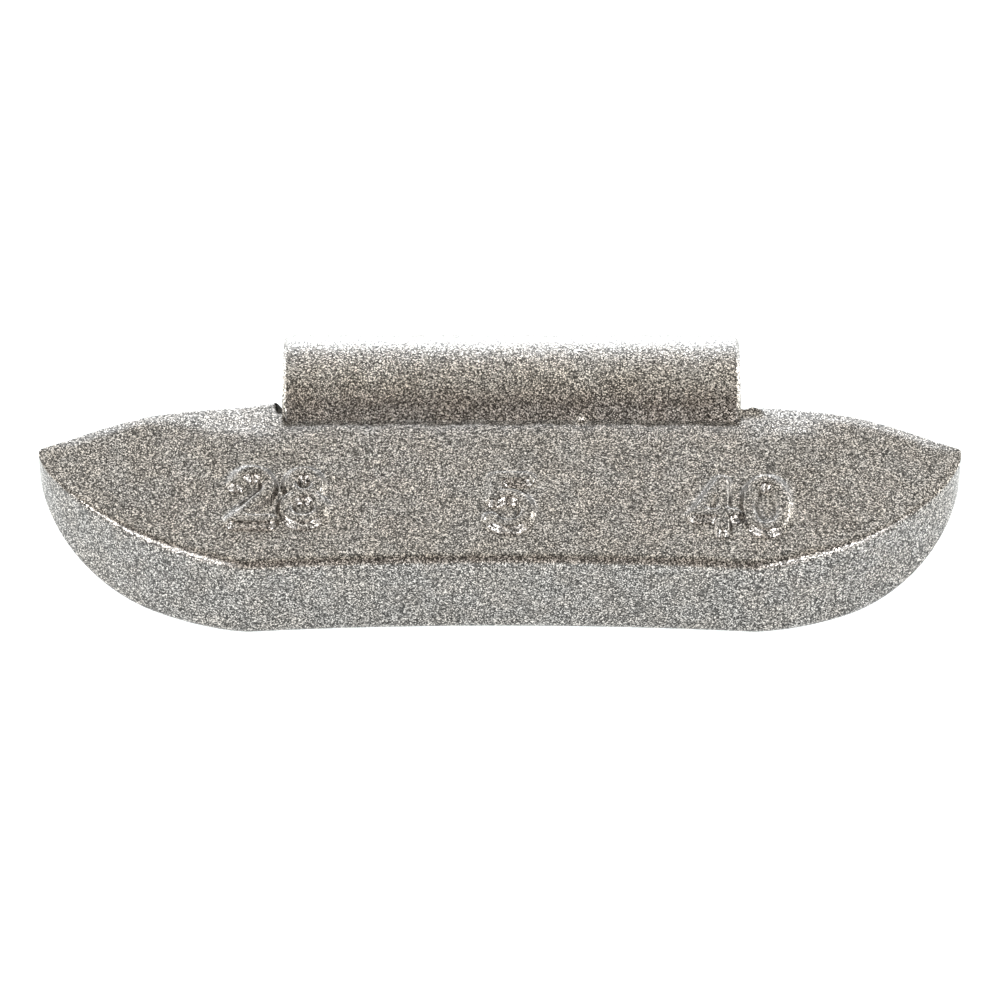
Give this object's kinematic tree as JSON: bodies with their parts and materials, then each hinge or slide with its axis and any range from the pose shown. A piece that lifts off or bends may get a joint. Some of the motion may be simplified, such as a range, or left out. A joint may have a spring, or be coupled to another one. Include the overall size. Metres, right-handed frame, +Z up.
{
  "type": "wheel balance weight",
  "caption": "Clip-on wheel balance weight: a boat-shaped cast bar with pointed ends, and a spring steel hook that grips a rim flange.",
  "frame": {"origin": "centre of the bounding box's bottom, on the surface that the part lies on", "axes": "+X along the weight, +Y towards the hook, +Z up, out of the front face, which leans 15 degrees towards -Y as the part lies on its back"},
  "size_m": [0.048, 0.018, 0.0092],
  "materials": {
    "cast_coating": "satin",
    "clip_coating": "satin"
  },
  "bodies": {
    "root": {"cast_weight": "cast_coating", "spring_clip": "clip_coating"}
  },
  "joints": []
}
